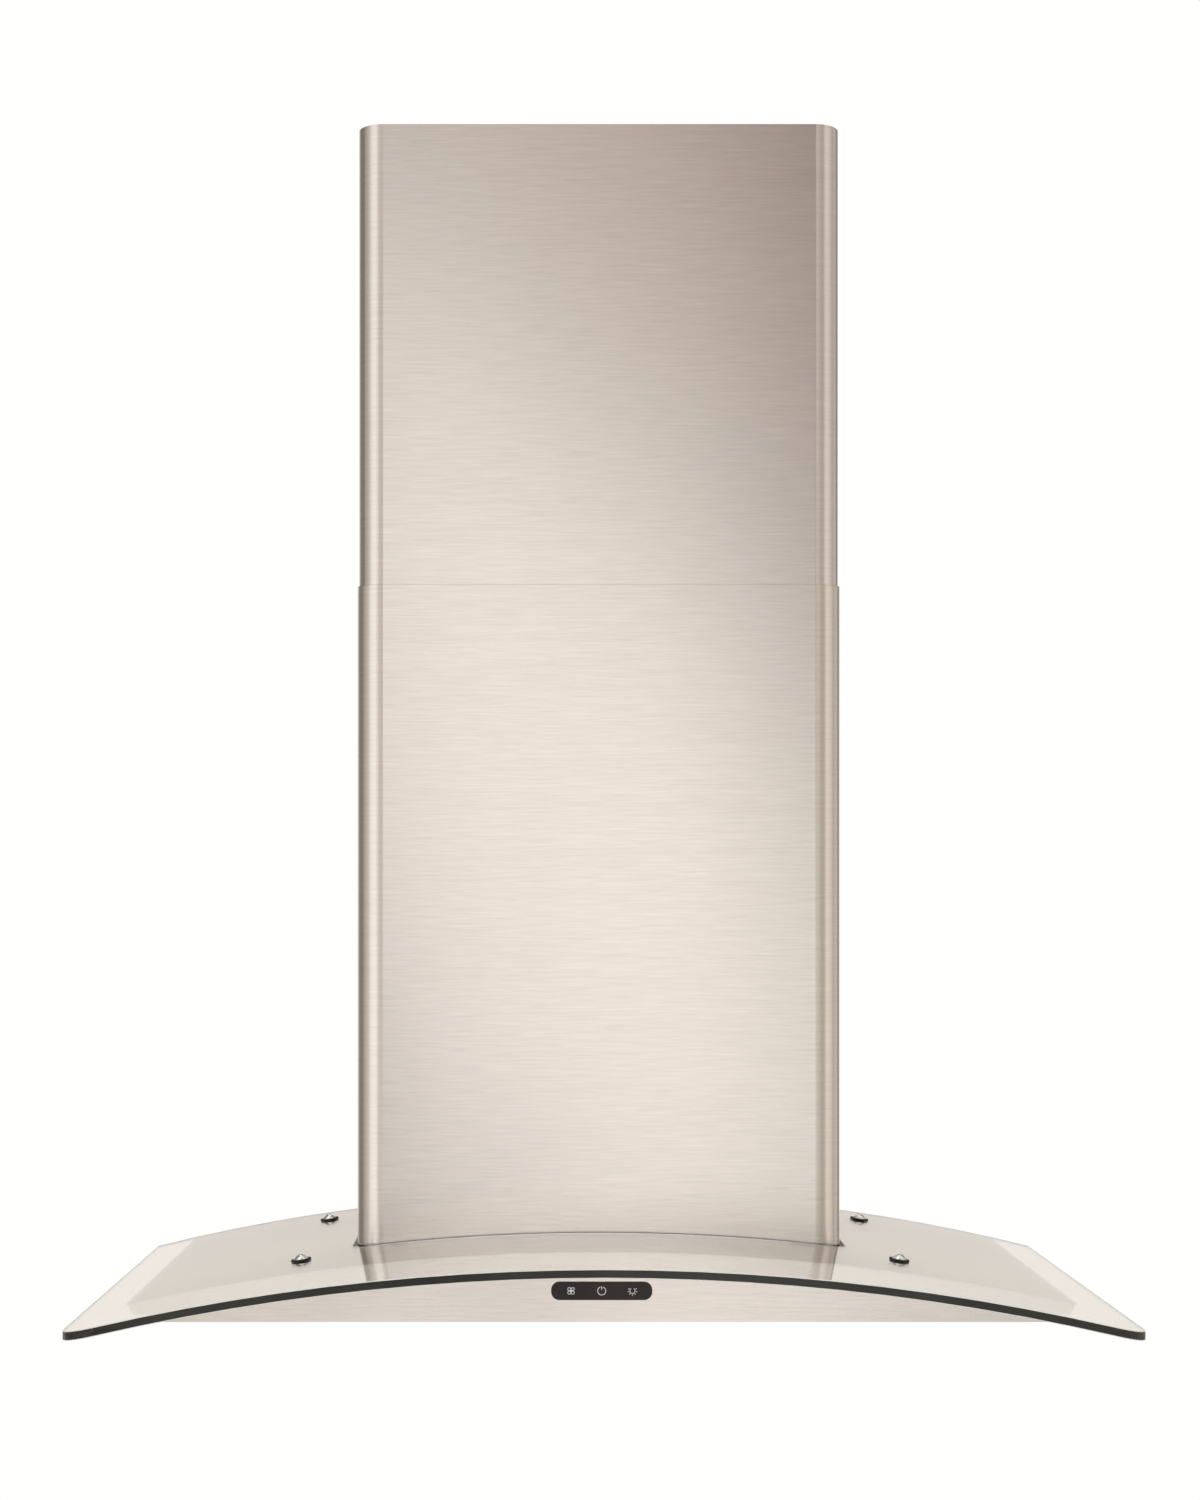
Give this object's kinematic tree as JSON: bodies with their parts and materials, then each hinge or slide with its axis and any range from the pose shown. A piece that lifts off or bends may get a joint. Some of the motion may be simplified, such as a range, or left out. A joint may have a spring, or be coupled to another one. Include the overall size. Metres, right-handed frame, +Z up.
{
  "type": "curved glass range hood",
  "caption": "Wall-mounted chimney range hood with a curved glass canopy over a slim steel body, touch strip, mesh filters, lamps, blower and telescoping steel flue.",
  "frame": {"origin": "centre of the four wall screw holes of the hanging bracket, on the wall plane", "axes": "+Z up, +X to the right as seen from the front, the front faces -Y, the wall plane is Y = 0"},
  "size_m": [0.9, 0.5, 1.0739],
  "materials": {
    "brushed_steel": "horizontal brushed satin",
    "clear_glass": "clear polished with a faint green edge",
    "chrome_screw": "polished",
    "black_rubber": "matte",
    "zinc_steel": "zinc plated, dull",
    "black_plastic": "matte",
    "grey_plastic": "matte",
    "white_plastic": "satin",
    "shaft_steel": "ground",
    "motor_can": "dark enamel",
    "aluminium": "satin",
    "aluminium_mesh": "expanded mesh",
    "black_glass": "gloss black",
    "icon_print": "printed light grey",
    "circuit_board": "green resist",
    "frosted_lens": "frosted"
  },
  "bodies": {
    "hood": {"glass_canopy": "clear_glass", "glass_screws": "chrome_screw", "glass_washers": "black_rubber", "glass_pads": "black_rubber", "glass_nuts": "zinc_steel", "top_plate": "brushed_steel", "front_panel": "brushed_steel", "body_wrap": "brushed_steel", "bottom_panel": "brushed_steel", "panel_screws": "chrome_screw", "wall_bracket": "zinc_steel", "hook_rail": "zinc_steel", "lower_flue": "brushed_steel", "flue_feet": "zinc_steel", "motor_box": "zinc_steel", "motor_box_lid": "zinc_steel", "plate_screws": "zinc_steel", "volute_front": "black_plastic", "volute_rear": "black_plastic", "motor": "motor_can", "motor_bracket": "zinc_steel", "motor_screws": "zinc_steel", "capacitor": "aluminium", "capacitor_clip": "zinc_steel", "duct_collar": "grey_plastic", "collar_screws": "zinc_steel", "damper_rod": "shaft_steel", "terminal_box": "black_plastic", "terminal_cover": "black_plastic", "terminal_block": "white_plastic", "cable_grommet": "black_rubber", "touch_lens": "black_glass", "touch_icons": "icon_print", "control_housing": "black_plastic", "control_board": "circuit_board", "touch_contacts": "black_rubber", "filter_hinges": "zinc_steel", "lamp_bezel_left": "brushed_steel", "lamp_lens_left": "frosted_lens", "lamp_housing_left": "aluminium", "lamp_board_left": "white_plastic", "lamp_bezel_right": "brushed_steel", "lamp_lens_right": "frosted_lens", "lamp_housing_right": "aluminium", "lamp_board_right": "white_plastic"},
    "upper_chimney": {"upper_flue": "brushed_steel", "ceiling_bracket": "zinc_steel", "upper_flue_screws": "chrome_screw"},
    "fan": {"impeller": "grey_plastic", "motor_shaft": "shaft_steel"},
    "flap_front": {"damper_flap_front": "grey_plastic"},
    "flap_rear": {"damper_flap_rear": "grey_plastic"},
    "filter_left": {"filter_frame_left": "aluminium", "filter_mesh_left": "aluminium_mesh", "latch_spring_left": "shaft_steel"},
    "filter_right": {"filter_frame_right": "aluminium", "filter_mesh_right": "aluminium_mesh", "latch_spring_right": "shaft_steel"},
    "latch_left": {"filter_latch_left": "grey_plastic"},
    "latch_right": {"filter_latch_right": "grey_plastic"}
  },
  "joints": [
    {"name": "upper_flue_slide", "type": "slide", "parent": "hood", "child": "upper_chimney", "axis": [0, 0, 1], "range_m": [-0.36, 0.03]},
    {"name": "fan_spin", "type": "hinge", "parent": "hood", "child": "fan", "pos_m": [0.045, -0.138, -0.03], "axis": [0, 1, 0], "continuous": true},
    {"name": "front_flap_hinge", "type": "hinge", "parent": "hood", "child": "flap_front", "pos_m": [0, -0.138, 0.1512], "axis": [-1, 0, 0], "range_deg": [0, 78]},
    {"name": "rear_flap_hinge", "type": "hinge", "parent": "hood", "child": "flap_rear", "pos_m": [0, -0.138, 0.1512], "axis": [1, 0, 0], "range_deg": [0, 78]},
    {"name": "left_filter_hinge", "type": "hinge", "parent": "hood", "child": "filter_left", "pos_m": [-0.194, -0.029, -0.238], "axis": [1, 0, 0], "range_deg": [0, 70]},
    {"name": "left_latch_slide", "type": "slide", "parent": "filter_left", "child": "latch_left", "axis": [0, 1, 0], "range_m": [0, 0.006], "stiffness_N_per_m": 400, "springref_m": -0.008, "deforming": ["latch_spring_left"]},
    {"name": "right_filter_hinge", "type": "hinge", "parent": "hood", "child": "filter_right", "pos_m": [0.194, -0.029, -0.238], "axis": [1, 0, 0], "range_deg": [0, 70]},
    {"name": "right_latch_slide", "type": "slide", "parent": "filter_right", "child": "latch_right", "axis": [0, 1, 0], "range_m": [0, 0.006], "stiffness_N_per_m": 400, "springref_m": -0.008, "deforming": ["latch_spring_right"]}
  ]
}
